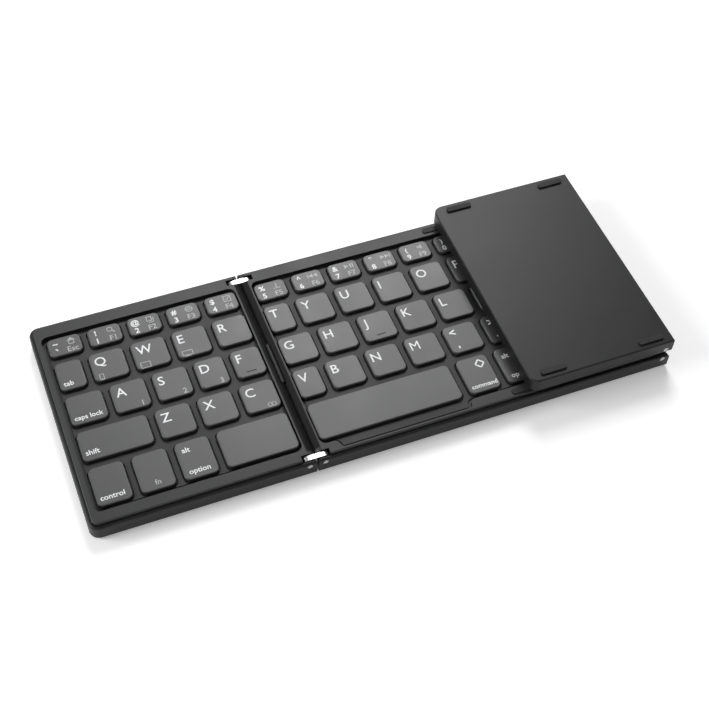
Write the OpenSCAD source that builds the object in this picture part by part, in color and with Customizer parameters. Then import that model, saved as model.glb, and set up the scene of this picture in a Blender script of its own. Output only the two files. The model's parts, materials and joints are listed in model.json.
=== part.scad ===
// Three-panel folding keyboard with a touchpad wing.
// The left wing lies open, the right wing is folded over the middle panel.
// X runs along the keyboard, Y from the typist to the back, Z up from the feet.

/* [Panels] */
// Width of the left wing
left_w = 87.2; // [84:0.2:92]
// Width of the right wing, which carries the touchpad
right_w = 63.2; // [60:0.2:70]
// Front-to-back depth of every panel
depth = 97.9; // [97:0.1:104]
// Thickness of one panel without its feet
panel_h = 7.7; // [7.6:0.1:9]
// Gap between the two wings' far edges when both lie on the middle panel
wing_gap = 0.4; // [0.2:0.1:1.5]
// Plan radius of the wings' far corners
corner_r = 4.0; // [3.4:0.1:6]

/* [Casing] */
// Thickness of a shell's floor
floor_t = 1.2; // [0.8:0.1:1.3]
// Thickness of a shell's upstanding lip
lip_t = 1.35; // [1:0.05:1.5]
// How far the lip stays under the top face
lip_drop = 1.1; // [0.9:0.05:1.2]
// Thickness of the top rim
rim_t = 1.9; // [1.6:0.05:2]
// Rim width at a wing's far edge
rim_far = 3.6; // [3.4:0.1:4]
// Rim width along the back
rim_back = 7.1; // [7.1:0.1:7.6]
// Rim width along the front
rim_front = 6.4; // [6.3:0.1:6.6]
// Rim width along a seam, outside the keys
rim_seam = 3.2; // [3.1:0.05:3.4]
// Groove between the rim and the deck
groove = 1.35; // [1.2:0.05:1.4]
// Outer edge radius under the shells
bottom_edge_r = 0.6; // [0.3:0.1:1]

/* [Hinges] */
// Depth of the hinge pins under the top face, which is also the seam edge's radius
pin_depth = 2.85; // [2.75:0.05:2.95]
// Gap between folded panels, and between open ones at a seam
fold_gap = 0.6; // [0.55:0.05:0.8]
// Radius of a hinge pin's shank
pin_r = 0.8; // [0.6:0.05:0.85]
// Radius of a hinge pin's head
pin_head_r = 1.1; // [1:0.05:1.2]
// Radius of a link's round ends
link_r = 2.2; // [1.8:0.05:2.25]
// Thickness of a link
link_t = 2.1; // [1.6:0.1:2.2]
// Front link's centre from the front edge
link_front_in = 2.8; // [2.7:0.1:3]
// Back link's centre from the back edge
link_back_in = 4.1; // [3.8:0.1:4.3]
// Running clearance of a link on its pins
pin_clear = 0.05; // [0.03:0.01:0.08]

/* [Keys] */
// Width of the key left of the first letter
tab_w = 10.42; // [10:0.01:12]
// Width of the last key of the middle panel's first letter row
last_w = 11.14; // [10.5:0.01:12]
// Width of the right arrow key
arrow_w = 14.4; // [13:0.1:15]
// Gap between two letter keys
key_gap = 3.05; // [2.9:0.01:3.2]
// Depth of the number keys
number_key_d = 9.05; // [8.6:0.05:9.2]
// Gap between two number keys
number_gap = 3.0; // [2.9:0.05:3.2]
// Depth of the bottom row's keys
bottom_key_d = 17.0; // [16.5:0.1:17.1]
// Width of the bottom row's single keys
bottom_key_w = 13.3; // [13:0.1:13.6]
// Gap between two keys of the bottom row
bottom_gap = 3.2; // [3:0.05:3.3]
// Gap between two rows
row_gap = 3.4; // [3.2:0.05:3.42]
// Width of the narrow keys next to the left seam
narrow_key_w = 10.5; // [10.2:0.1:10.8]
// Width of the narrow home keys
home_key_w = 11.9; // [11.6:0.1:12.2]
// Distance from the back edge to the first row
key_back = 8.9; // [8.8:0.05:9.1]
// Distance from the front edge to the bottom row
key_front = 8.25; // [8.2:0.05:8.5]
// Distance from a far edge to the first key
key_far = 5.5; // [5.4:0.05:5.6]
// Plan radius of a key's corners
key_corner_r = 2.2; // [1.6:0.1:2.6]
// Radius along a key's top edges
key_edge_r = 0.45; // [0.2:0.05:0.6]
// Wall thickness of a keycap
key_wall = 0.9; // [0.7:0.05:1]
// Clearance between a key and its well
key_clear = 0.6; // [0.5:0.02:0.66]
// Travel of a key
key_travel = 1.5; // [1:0.1:1.55]

/* [Deck] */
// Depth of the deck's lattice under the key tops
deck_drop = 1.5; // [1.3:0.05:1.6]
// Depth of the space bar's thumb bay in the front rim
bay_d = 3.6; // [3.3:0.1:3.7]
// Width of the thumb bay
bay_w = 58.6; // [50:0.2:62]
// Distance from the left seam to the thumb bay
bay_x = 8.2; // [6:0.2:10]

/* [Touchpad] */
// Margin between the touchpad and the wing's far and seam edges
pad_side = 7.5; // [6.5:0.1:10]
// Margin between the touchpad and the front and back edges
pad_end = 11; // [9:0.1:16]
// Plan radius of the touchpad's corners
pad_r = 3; // [1.5:0.1:5]
// Click travel of the touchpad
pad_travel = 0.4; // [0.2:0.05:0.4]

/* [Feet] */
// Length of a foot or bumper
foot_l = 11; // [8:0.5:14]
// Width of a foot or bumper
foot_w = 2.4; // [2:0.1:2.6]
// Height of the feet under the shells
foot_h = 0.8; // [0.5:0.1:1.5]
// Centre of a foot from the front and back edges
foot_in = 3.5; // [3.2:0.1:4]
// Centre of a foot from the far edge of its panel
foot_far = 10.8; // [9:0.1:12]
// Centre of a foot from a seam
foot_seam = 9.2; // [8:0.1:12]
// Height of a bumper over the rim
bumper_h = 0.45; // [0.2:0.05:0.5]

/* [Hidden] */
$fn = 48;
cut = 1;

// Each panel when open: its left and right x, then whether its left and right sides are free edges
mid_w = left_w + right_w + wing_gap;
length = left_w + fold_gap + mid_w;
LEFT = [-length / 2, -length / 2 + left_w, true, false];
MID = [length / 2 - mid_w, length / 2, false, false];
RIGHT = [MID[1] + fold_gap, MID[1] + fold_gap + right_w, false, true];

// Heights of the casing's layers, from the table up
base_z = foot_h;
top_z = base_z + panel_h;
pin_z = top_z - pin_depth;
floor_z = base_z + floor_t;
lip_z = top_z - lip_drop;
rim_z = top_z - rim_t;
deck_z = top_z - deck_drop;
seat_gap = 0.05;
flange_t = 0.6;
flange_z = rim_z - seat_gap - flange_t;
catch_t = 0.5;
catch_z = flange_z - seat_gap - catch_t;
sheet_t = 0.2;
sheet_z = catch_z - key_travel - 2 * seat_gap - sheet_t;
plate_t = 0.5;
plate_z = sheet_z - plate_t;

// Insets of the casing's layers from a free edge, and from a seam
rim_in = lip_t + 0.25;
seat_in = rim_in + 1;
cavity_in = seat_in + 1;
flange_in = seat_in + 0.3;
seat_seam = rim_seam - 0.8;
flange_seam = rim_seam - 0.5;
cavity_seam = rim_seam - 0.1;
plate_gap = 0.2;
lip_edge_r = 1.1;
rim_edge_r = 0.5;
window_r = 2.8;
least_r = 0.4;

// Hinges
link_pitch = 2 * pin_depth + fold_gap;
link_gap = 0.3;
notch_r = link_r + link_gap;
notch_w = link_t + 2 * link_gap;
pin_bite = 1.2;
pin_fit = 0.02;
pin_head_t = 0.5;
pin_recess = 0.15;
block_w = pin_depth + notch_r + 1.05;
sleeve_r = 0.7;
sleeve_l = 18.6;
sleeve_gap = 0.1;
sleeve_rise = sqrt(pow(pin_depth + sleeve_r + sleeve_gap, 2) - pow(link_pitch / 2, 2));

// Keys: the letter keys fill what the other keys leave of a panel, to a hundredth of a millimetre
function hundredths(x) = round(100 * x) / 100;
key_seam = rim_seam + key_clear;
key_d = hundredths((depth - key_back - key_front - number_key_d - bottom_key_d - 4 * row_gap) / 3);
left_key_w = hundredths((left_w - key_far - key_seam - tab_w - 4 * key_gap) / 4);
mid_key_w = hundredths((mid_w - 2 * key_seam - narrow_key_w - last_w - 8 * key_gap) / 7);
number_trim = 0.8;
well_r = key_corner_r + key_clear;
catch_w = 6;
catch_reach = key_clear + 0.5;
stack_gap = 1.3;
dome_r = 2.6;
dome_tip_r = 1.6;
dome_h = 1.8;
boss_r = 1.9;
boss_z = sheet_z + sheet_t + dome_h + seat_gap;
ridge_l = 3.6;
ridge_r = 0.3;
ridge_h = 0.2;
ridge_in = 2.4;

// Ribs under the key plates
rib_w = 1.2;
rib_pitch = 17;

// Touchpad, board and battery
pad_gap = 0.3;
pad_drop = 0.3;
pad_edge_r = 0.2;
board_t = 0.8;
board_in = cavity_in + 0.8;
board_seam = block_w + 0.6;
battery_w = 34;
battery_d = 48;
battery_h = 2;
battery_r = 1;
board_z = floor_z + battery_h + 0.2;
chip_t = 0.4;
chip_w = 9;
post_r = 1.8;
post_in = 4;
switch_r = 1.8;
socket_w = 7.6;
socket_d = 5.6;
socket_h = 2.6;
socket_wall = 0.35;
socket_in = 0.5;
socket_clear = 0.15;
socket_z = board_z + (board_t - socket_h) / 2;

// Feet and bumpers
foot_r = 0.9;
foot_recess = 0.3;
foot_fit = 0.05;

// Colours
CASE = [0.16, 0.16, 0.17];
RIM = [0.33, 0.33, 0.34];
KEY = [0.45, 0.45, 0.46];
STEEL = [0.75, 0.76, 0.78];
RUBBER = [0.12, 0.12, 0.12];

// Key rows from the back: [depth, gap, keys], each key being [node, width, keys in a stack].
// A width of 0 takes what the row has left.
function run(name, count, w) = [for (i = [1:count]) [name, w, 1]];
function letters(word, w) = [for (c = word) [str(c, "_key"), w, 1]];
first_w = hundredths((left_w - key_far - key_seam - 4 * number_gap) / 5);
LEFT_ROWS = [
    [number_key_d, number_gap, concat(run("left_top_row_keys", 4, first_w),
        run("left_top_row_keys", 1, 0))],
    [key_d, key_gap, concat(run("left_side_keys", 1, 0), letters("qwer", left_key_w))],
    [key_d, key_gap, concat(run("left_side_keys", 1, 0), letters("as", left_key_w),
        letters("df", home_key_w))],
    [key_d, key_gap, concat(run("left_side_keys", 1, 0), letters("zxc", left_key_w))],
    [bottom_key_d, bottom_gap, concat(run("left_side_keys", 3, bottom_key_w),
        run("left_space_key", 1, 0))]
];
MID_ROWS = [
    [number_key_d, number_gap, concat(run("middle_top_row_keys", 8, mid_key_w - number_trim),
        run("middle_top_row_keys", 1, 0))],
    [key_d, key_gap, concat(letters("t", narrow_key_w), letters("yuiop", mid_key_w),
        run("punctuation_keys", 2, mid_key_w), run("punctuation_keys", 1, 0))],
    [key_d, key_gap, concat(letters("ghjkl", mid_key_w), run("punctuation_keys", 2, mid_key_w),
        run("right_side_keys", 1, 0))],
    [key_d, key_gap, concat(letters("v", narrow_key_w), letters("bnm", mid_key_w),
        run("punctuation_keys", 3, mid_key_w), run("right_side_keys", 1, 0))],
    [bottom_key_d, bottom_gap, concat(run("space_key", 1, 0), run("right_side_keys", 3, bottom_key_w),
        [["right_side_keys", bottom_key_w, 2], ["right_side_keys", arrow_w, 1]])]
];

KEY_NODES = concat([for (c = "qwerasdfzxctyuiopghjklvbnm") str(c, "_key")],
    ["left_top_row_keys", "left_side_keys", "left_space_key", "middle_top_row_keys",
     "punctuation_keys", "right_side_keys", "space_key"]);

// Width of the span that a panel's key rows fill
function span(p) = [p[0] + (p[2] ? key_far : key_seam), p[1] - (p[3] ? key_far : key_seam)];
function sum(v, i = 0) = i < len(v) ? v[i] + sum(v, i + 1) : 0;
function rest_w(p, row) = span(p)[1] - span(p)[0] - row[1] * (len(row[2]) - 1)
    - sum([for (k = row[2]) k[1]]);
function key_width(p, row, j) = row[2][j][1] > 0 ? row[2][j][1] : rest_w(p, row);
function key_left(p, row, j) = span(p)[0] + sum([for (i = [0:1:j - 1]) key_width(p, row, i) + row[1]]);
function row_back(rows, i) = depth / 2 - key_back - sum([for (k = [0:1:i - 1]) rows[k][0] + row_gap]);
function stack_d(row, count) = (row[0] - (count - 1) * stack_gap) / count;

// Every key of a panel: [node, left, right, front, back, sides that carry a catch]
function keys(p, rows) = [
    for (i = [0:len(rows) - 1], j = [0:len(rows[i][2]) - 1], n = [0:rows[i][2][j][2] - 1])
        let (row = rows[i], count = row[2][j][2], d = stack_d(row, count),
             x = key_left(p, row, j), y = row_back(rows, i) - row[0] + n * (d + stack_gap))
            [row[2][j][0], x, x + key_width(p, row, j), y, y + d,
             concat(n == 0 ? [-1] : [], n == count - 1 ? [1] : [])]
];
ALL_KEYS = concat(keys(LEFT, LEFT_ROWS), keys(MID, MID_ROWS));

// Hinge pins of a panel: [x, direction towards the seam]
function pins(p) = concat(p[2] ? [] : [[p[0] + pin_depth, -1]], p[3] ? [] : [[p[1] - pin_depth, 1]]);
// Centre of the front (-1) or back (1) link
function link_y(s) = s * (depth / 2 - (s < 0 ? link_front_in : link_back_in));
// Distance that a hinge block reaches in from the front (-1) or back (1) edge
function block_d(s) = (s < 0 ? link_front_in : link_back_in) + notch_w / 2 + pin_bite + 0.4;

// ---- Basic solids ----

module block(a, b) {
    translate(a) cube(b - a);
}

// Cylinder along Y
module rod(x, z, y0, y1, r) {
    translate([x, y0, z]) rotate([-90, 0, 0]) cylinder(h = y1 - y0, r = r);
}

// Upright section out to x = w, or to both sides of x = 0, with round corners rt above and rb below
module section(w, z0, z1, rt, rb, both = false) {
    for (e = concat([[0, z0 + rb, z1 - rt]], rt > 0 ? [[rt, z0 + rb, z1]] : [],
                    rb > 0 ? [[rb, z0, z1 - rt]] : []))
        translate([both ? e[0] - w : 0, e[1]]) square([(both ? 2 : 1) * (w - e[0]), e[2] - e[1]]);
    for (m = both ? [-1, 1] : [1]) {
        if (rt > 0) translate([m * (w - rt), z1 - rt]) circle(rt);
        if (rb > 0) translate([m * (w - rb), z0 + rb]) circle(rb);
    }
}

// Plate with plan corners of radius r at the ends that are marked true
module plate(x0, x1, y0, y1, r, z0, z1, ends = [true, true]) {
    xa = ends[0] ? x0 + r : x0;
    xb = ends[1] ? x1 - r : x1;
    translate([0, 0, z0]) linear_extrude(z1 - z0) {
        translate([xa, y0]) square([xb - xa, y1 - y0]);
        translate([x0, y0 + r]) square([x1 - x0, y1 - y0 - 2 * r]);
        for (e = [[xa, ends[0]], [xb, ends[1]]], y = [y0 + r, y1 - r])
            if (e[1]) translate([e[0], y]) circle(r);
    }
}

// The same plate with its free edges rounded, by rt at the top and rb below
module pillow(x0, x1, y0, y1, r, z0, z1, rt, rb, ends = [true, true]) {
    xa = ends[0] ? x0 + r : x0;
    xb = ends[1] ? x1 - r : x1;
    translate([xa, (y0 + y1) / 2, 0]) rotate([90, 0, 90]) linear_extrude(xb - xa)
        section((y1 - y0) / 2, z0, z1, rt, rb, true);
    for (e = [[xa, ends[0]], [xb, ends[1]]]) if (e[1]) {
        translate([e[0], (y0 + y1) / 2, 0]) rotate([90, 0, 0])
            linear_extrude(y1 - y0 - 2 * r, center = true) section(r, z0, z1, rt, rb, true);
        for (y = [y0 + r, y1 - r]) translate([e[0], y, 0]) rotate_extrude()
            section(r, z0, z1, rt, rb);
    }
}

// ---- Panel shapes ----

// Slab of a panel's plan, inset from its free edges by in and from its seams by seam
module slab(p, in, seam, z0, z1, rt = 0, rb = 0) {
    r = max(corner_r - in, least_r);
    x0 = p[0] + (p[2] ? in : seam);
    x1 = p[1] - (p[3] ? in : seam);
    y = depth / 2 - in;
    if (rt + rb > 0) pillow(x0, x1, -y, y, r, z0, z1, rt, rb, [p[2], p[3]]);
    else plate(x0, x1, -y, y, r, z0, z1, [p[2], p[3]]);
}

// The space that a panel may fill, rounded about its hinge pins at the seams
module seam_space(p) {
    x0 = p[0] + (p[2] ? 0 : pin_depth);
    x1 = p[1] - (p[3] ? 0 : pin_depth);
    block([p[0], -depth / 2, base_z], [p[1], depth / 2, pin_z]);
    block([x0, -depth / 2, base_z], [x1, depth / 2, top_z]);
    for (k = pins(p)) rod(k[0], pin_z, -depth / 2, depth / 2, pin_depth);
}

// Opening of a key panel's rim, shrunk by in all round
module window(p, z0, z1, in = 0) {
    plate(p[0] + (p[2] ? rim_far : rim_seam) + in, p[1] - (p[3] ? rim_far : rim_seam) - in,
        -depth / 2 + rim_front + in, depth / 2 - rim_back - in, window_r - in, z0, z1);
    if (p == MID) thumb_bay(z0, z1, in);
}

// Bay in front of the space bar, joined to the window by two S-shaped shoulders
module thumb_bay(z0, z1, in) {
    r = bay_d / 2;
    x0 = MID[0] + bay_x;
    x1 = x0 + bay_w;
    y = -depth / 2 + rim_front;
    translate([0, 0, z0]) linear_extrude(z1 - z0) difference() {
        translate([x0, y - r]) square([bay_w, r + window_r]);
        for (x = [x0, x1]) translate([x, y - r]) circle(r + in);
    }
    plate(x0 + r + in, x1 - r - in, y - bay_d + in, y + window_r, r - in, z0, z1);
}

// Corner blocks that hold the hinge pins
module hinge_blocks(p, grow = 0) {
    for (k = pins(p), s = [-1, 1]) {
        seam = k[0] + k[1] * pin_depth;
        x = seam - k[1] * (block_w + grow);
        y = s * (depth / 2 - block_d(s) - grow);
        block([min(seam, x), min(y, s * depth / 2), floor_z - cut],
            [max(seam, x), max(y, s * depth / 2), rim_z]);
    }
}

// Room for the links to swing from lying flat to standing up
module link_notches(p) {
    for (k = pins(p), s = [-1, 1]) translate([k[0], link_y(s), pin_z]) rotate([90, 0, 0])
        linear_extrude(notch_w, center = true) mirror([k[1] < 0 ? 1 : 0, 0]) {
            circle(notch_r);
            translate([-notch_r, 0]) square([notch_r + pin_depth + cut, pin_depth + cut]);
            translate([0, -notch_r]) square([pin_depth + cut, notch_r + cut]);
        }
}

// One hinge pin with its head outside; grow widens it into its hole
module pin(k, s, grow) {
    face = s * (depth / 2 - pin_recess);
    neck = face - s * pin_head_t;
    tip = link_y(s) - s * (notch_w / 2 + pin_bite + grow);
    out = grow > 0 ? s * pin_recess * 2 : 0;
    rod(k[0], pin_z, min(tip, neck), max(tip, neck), pin_r + grow);
    rod(k[0], pin_z, min(neck, face + out), max(neck, face + out), pin_head_r + grow);
}

module pins_of(p) {
    color(STEEL) for (k = pins(p), s = [-1, 1]) pin(k, s, 0);
}

// The right wing and its parts, turned over onto the middle panel
module folded() {
    x = MID[1] - pin_depth + link_pitch / 2;
    z = pin_z + link_pitch / 2;
    translate([x, 0, z]) rotate([0, 180, 0]) translate([-x, 0, -z]) children();
}

// ---- Casings ----

module ribs(p) {
    count = floor((p[1] - p[0]) / rib_pitch);
    step = (p[1] - p[0]) / count;
    intersection() {
        slab(p, seat_in, seat_seam, base_z, plate_z);
        union() {
            for (i = [1:count - 1]) block([p[0] + i * step - rib_w / 2, -depth / 2, base_z],
                [p[0] + i * step + rib_w / 2, depth / 2, plate_z]);
            block([p[0], -rib_w / 2, base_z], [p[1], rib_w / 2, plate_z]);
        }
    }
}

module shell(p) {
    difference() {
        intersection() {
            slab(p, 0, 0, base_z, lip_z, lip_edge_r, bottom_edge_r);
            seam_space(p);
        }
        difference() {
            union() {
                slab(p, lip_t, -cut, rim_z, top_z);
                slab(p, seat_in, seat_seam, flange_z, top_z);
                slab(p, cavity_in, cavity_seam, floor_z, top_z);
            }
            hinge_blocks(p);
        }
        link_notches(p);
        for (k = pins(p), s = [-1, 1]) pin(k, s, pin_fit);
        feet_at(p, foot_fit);
    }
}

module rim(p) {
    difference() {
        intersection() {
            slab(p, rim_in, 0, rim_z, top_z, rim_edge_r, 0);
            seam_space(p);
        }
        link_notches(p);
    }
}

module key_rim(p) {
    color(RIM) difference() {
        rim(p);
        window(p, rim_z - cut, top_z + cut);
        if (p == MID) bumper_pair(foot_fit);
    }
}

module key_shell(p) {
    color(CASE) {
        shell(p);
        ribs(p);
    }
}

// Lattice that shows between the keys, with a flange that the rim holds down
module deck(p, rows) {
    color(CASE) difference() {
        union() {
            window(p, flange_z, deck_z, groove);
            slab(p, flange_in, flange_seam, flange_z, flange_z + flange_t);
        }
        for (k = keys(p, rows)) plate(k[1] - key_clear, k[2] + key_clear, k[3] - key_clear,
            k[4] + key_clear, well_r, flange_z - cut, top_z);
        hinge_blocks(p, plate_gap);
    }
}

// Flat sheet on the ribs
module sheet(p, z0, t) {
    difference() {
        slab(p, cavity_in + plate_gap, cavity_seam + plate_gap, z0, z0 + t);
        hinge_blocks(p, plate_gap);
    }
}

module key_plate(p) {
    color(STEEL) sheet(p, plate_z, plate_t);
}

// Rubber sheet with one dome under each key
module dome_sheet(p, rows) {
    color([0.85, 0.85, 0.82]) {
        sheet(p, sheet_z, sheet_t);
        for (k = keys(p, rows)) translate([(k[1] + k[2]) / 2, (k[3] + k[4]) / 2, sheet_z])
            cylinder(h = sheet_t + dome_h, r1 = dome_r, r2 = dome_tip_r);
    }
}

// ---- Keys ----

module keycap(k) {
    x = (k[1] + k[2]) / 2;
    y = (k[3] + k[4]) / 2;
    w = key_wall;
    difference() {
        pillow(k[1], k[2], k[3], k[4], key_corner_r, catch_z, top_z, key_edge_r, 0);
        plate(k[1] + w, k[2] - w, k[3] + w, k[4] - w, key_corner_r - w, catch_z - cut, top_z - w);
    }
    translate([x, y, boss_z]) cylinder(h = top_z - w / 2 - boss_z, r = boss_r);
    for (s = k[5]) {
        side = s < 0 ? k[3] : k[4];
        block([x - catch_w / 2, min(side - s * w / 2, side + s * catch_reach), catch_z],
            [x + catch_w / 2, max(side - s * w / 2, side + s * catch_reach), catch_z + catch_t]);
    }
}

// Raised bar that the index finger finds
module ridge(k) {
    x = (k[1] + k[2]) / 2;
    z = top_z + ridge_h - ridge_r;
    translate([x, k[3] + ridge_in, z]) {
        rotate([0, 90, 0]) cylinder(h = ridge_l, r = ridge_r, center = true);
        for (s = [-1, 1]) translate([s * ridge_l / 2, 0, 0]) sphere(ridge_r);
    }
}

module key_group(name) {
    $fn = 32;
    color(KEY) for (k = ALL_KEYS) if (k[0] == name) {
        keycap(k);
        if (name == "f_key" || name == "j_key") ridge(k);
    }
}

// ---- Hinges ----

module link(x, s) {
    translate([x, link_y(s), pin_z]) rotate([90, 0, 0]) difference() {
        linear_extrude(link_t, center = true) {
            circle(link_r);
            translate([link_pitch, 0]) circle(link_r);
            translate([0, -link_r]) square([link_pitch, 2 * link_r]);
        }
        for (d = [0, link_pitch]) translate([d, 0, 0])
            cylinder(h = link_t + cut, r = pin_r + pin_clear, center = true);
    }
}

module links(x) {
    color(STEEL) for (s = [-1, 1]) link(x, s);
}

// Soft sleeve over the flex cable, between two pins that start at x
module sleeve(x, up) {
    z = pin_z + up * sleeve_rise;
    color(RUBBER) {
        rod(x + link_pitch / 2, z, -sleeve_l / 2, sleeve_l / 2, sleeve_r);
        for (s = [-1, 1]) translate([x + link_pitch / 2, s * sleeve_l / 2, z]) sphere(sleeve_r);
    }
}

// Turns what spans the right seam up onto its folded place
module stood_up() {
    x = MID[1] - pin_depth;
    translate([x, 0, pin_z]) rotate([0, -90, 0]) translate([-x, 0, -pin_z]) children();
}

// ---- Feet ----

module bar(x, y, z0, z1, grow) {
    plate(x - foot_l / 2 - grow, x + foot_l / 2 + grow, y - foot_w / 2 - grow,
        y + foot_w / 2 + grow, foot_r + grow, z0, z1);
}

module feet_at(p, grow) {
    xs = [p[0] + (p[2] ? foot_far : foot_seam), p[1] - (p[3] ? foot_far : foot_seam)];
    for (x = xs, s = [-1, 1])
        bar(x, s * (depth / 2 - foot_in), 0, base_z + foot_recess, grow);
}

module feet(p) {
    color(RUBBER) feet_at(p, 0);
}

// Where the far edges of both folded wings meet
module bumper_pair(grow) {
    x = MID[1] - right_w - wing_gap / 2;
    for (e = [[-1, rim_front], [1, rim_back]])
        bar(x, e[0] * (depth / 2 - (rim_in + e[1]) / 2), top_z - foot_recess,
            top_z + bumper_h, grow);
}

// ---- Touchpad wing ----

// Rectangle of the touchpad grown by g
function pad_box(g) = [RIGHT[0] + pad_side - g, RIGHT[1] - pad_side + g,
    -depth / 2 + pad_end - g, depth / 2 - pad_end + g];
socket_x = (RIGHT[0] + RIGHT[1]) / 2;
socket_y = depth / 2 - socket_in;

module socket_body(grow, deep) {
    rotate([90, 0, 0]) linear_extrude(deep) {
        r = socket_h / 2 + grow;
        for (s = [-1, 1]) translate([s * (socket_w / 2 + grow - r), 0]) circle(r);
        translate([-(socket_w / 2 + grow - r), -r]) square([socket_w + 2 * grow - 2 * r, 2 * r]);
    }
}

module right_shell() {
    folded() color(CASE) difference() {
        union() {
            shell(RIGHT);
            for (x = [RIGHT[0] + board_seam + post_in, RIGHT[1] - board_in - post_in], s = [-1, 1])
                translate([x, s * (depth / 2 - board_in - post_in), base_z + floor_t / 2])
                    cylinder(h = board_z - base_z - floor_t / 2, r = post_r);
        }
        translate([socket_x, depth / 2 + cut, socket_z + socket_h / 2])
            socket_body(socket_clear, cavity_in + 2 * cut);
    }
}

module right_rim() {
    b = pad_box(pad_gap);
    folded() color(RIM) difference() {
        rim(RIGHT);
        plate(b[0], b[1], b[2], b[3], pad_r + pad_gap, rim_z - cut, top_z + cut);
    }
}

module touchpad() {
    b = pad_box(0);
    f = pad_box(1);
    folded() color(KEY) {
        pillow(b[0], b[1], b[2], b[3], pad_r, flange_z, top_z - pad_drop, pad_edge_r, 0);
        plate(f[0], f[1], f[2], f[3], pad_r, flange_z, flange_z + flange_t);
    }
}

module main_board() {
    top = board_z + board_t;
    x = (pad_box(0)[0] + pad_box(0)[1]) / 2;
    folded() color([0.1, 0.35, 0.2]) {
        difference() {
            slab(RIGHT, board_in, board_seam, board_z, top);
            block([socket_x - socket_w / 2 - socket_clear, socket_y - socket_d - socket_clear, board_z - cut],
                [socket_x + socket_w / 2 + socket_clear, depth / 2, top + cut]);
        }
        for (y = [-1, 1]) block([x - chip_w / 2, y * 2 * chip_w - chip_w / 2, top],
            [x + chip_w / 2, y * 2 * chip_w + chip_w / 2, top + chip_t]);
        translate([x, 0, top]) cylinder(h = flange_z - pad_travel - seat_gap - top, r = switch_r);
    }
}

module battery() {
    x = (RIGHT[0] + board_seam + RIGHT[1] - board_in) / 2;
    folded() color([0.6, 0.62, 0.65]) plate(x - battery_w / 2, x + battery_w / 2,
        -battery_d / 2, battery_d / 2, battery_r, floor_z, floor_z + battery_h);
}

// Charging socket, open to the back, set into the board's edge
module charging_socket() {
    folded() color(STEEL) translate([socket_x, socket_y, socket_z + socket_h / 2]) {
        difference() {
            socket_body(0, socket_d);
            translate([0, cut, 0]) socket_body(-socket_wall, socket_d);
        }
        block([-socket_w / 4, -socket_d + socket_wall, -socket_wall],
            [socket_w / 4, -cut, socket_wall]);
    }
}

key_shell(LEFT);  // left_shell
key_rim(LEFT);  // left_rim
deck(LEFT, LEFT_ROWS);  // left_deck
key_plate(LEFT);  // left_key_plate
dome_sheet(LEFT, LEFT_ROWS);  // left_dome_sheet
key_shell(MID);  // middle_shell
key_rim(MID);  // middle_rim
deck(MID, MID_ROWS);  // middle_deck
key_plate(MID);  // middle_key_plate
dome_sheet(MID, MID_ROWS);  // middle_dome_sheet
right_shell();
right_rim();
touchpad();
main_board();
battery();
charging_socket();
links(LEFT[1] - pin_depth);  // left_links
stood_up() links(MID[1] - pin_depth);  // right_links
pins_of(LEFT);  // left_wing_pins
pins_of(MID);  // middle_pins
folded() pins_of(RIGHT);  // right_wing_pins
feet(LEFT);  // left_feet
feet(MID);  // middle_feet
folded() feet(RIGHT);  // right_feet
color(RUBBER) bumper_pair(0);  // bumpers
sleeve(LEFT[1] - pin_depth, 1);  // left_flex_sleeve
stood_up() sleeve(MID[1] - pin_depth, -1);  // right_flex_sleeve
for (name = KEY_NODES) key_group(name);
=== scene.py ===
# %% [markdown]
# # A folding keyboard, dressed for its picture
# The keyboard comes in as a finished mechanical model: casings, sixty-four keys, hinge links and pins,
# every part already at its real place. This lesson gives it what a mechanical model lacks: the grain of
# moulded plastic, brushed steel, printed legends, light and a camera. All lengths are in metres.

# %% Load the frame
import json
import math

import bmesh
import bpy
from mathutils import Matrix, Vector


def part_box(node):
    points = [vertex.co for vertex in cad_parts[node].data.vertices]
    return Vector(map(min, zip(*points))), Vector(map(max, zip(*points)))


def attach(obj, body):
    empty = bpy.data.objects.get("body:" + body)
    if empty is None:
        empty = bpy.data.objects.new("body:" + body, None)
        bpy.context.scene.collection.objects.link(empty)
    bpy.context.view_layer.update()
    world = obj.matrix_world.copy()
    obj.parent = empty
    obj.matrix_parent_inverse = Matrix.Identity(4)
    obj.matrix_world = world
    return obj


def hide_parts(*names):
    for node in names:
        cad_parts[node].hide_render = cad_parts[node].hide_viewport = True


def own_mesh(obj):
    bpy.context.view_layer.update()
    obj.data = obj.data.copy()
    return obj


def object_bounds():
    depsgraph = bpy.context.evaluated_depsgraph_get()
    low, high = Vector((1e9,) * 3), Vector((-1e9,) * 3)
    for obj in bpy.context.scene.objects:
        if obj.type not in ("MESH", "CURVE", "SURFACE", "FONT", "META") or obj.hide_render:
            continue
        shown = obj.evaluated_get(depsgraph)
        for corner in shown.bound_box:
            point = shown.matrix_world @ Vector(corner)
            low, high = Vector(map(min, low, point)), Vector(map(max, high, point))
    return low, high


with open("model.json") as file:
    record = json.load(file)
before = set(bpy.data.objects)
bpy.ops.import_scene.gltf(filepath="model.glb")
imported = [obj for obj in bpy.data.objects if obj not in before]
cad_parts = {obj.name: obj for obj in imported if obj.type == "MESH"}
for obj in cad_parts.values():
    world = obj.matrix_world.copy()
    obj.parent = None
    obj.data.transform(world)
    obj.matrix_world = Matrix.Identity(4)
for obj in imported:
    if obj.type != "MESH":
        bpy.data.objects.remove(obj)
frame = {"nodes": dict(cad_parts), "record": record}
nodes = frame["nodes"]
cad_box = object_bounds()

# %% [markdown]
# ## The camera
# A camera is easiest to place by three vectors: where it looks, which way is to its right, and which way
# is up. Turning the last two about the first gives the roll, the slight tilt of a camera held by hand.
# The lens length is the focal length in pixels over the picture's width, times the width of the sensor.

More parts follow.
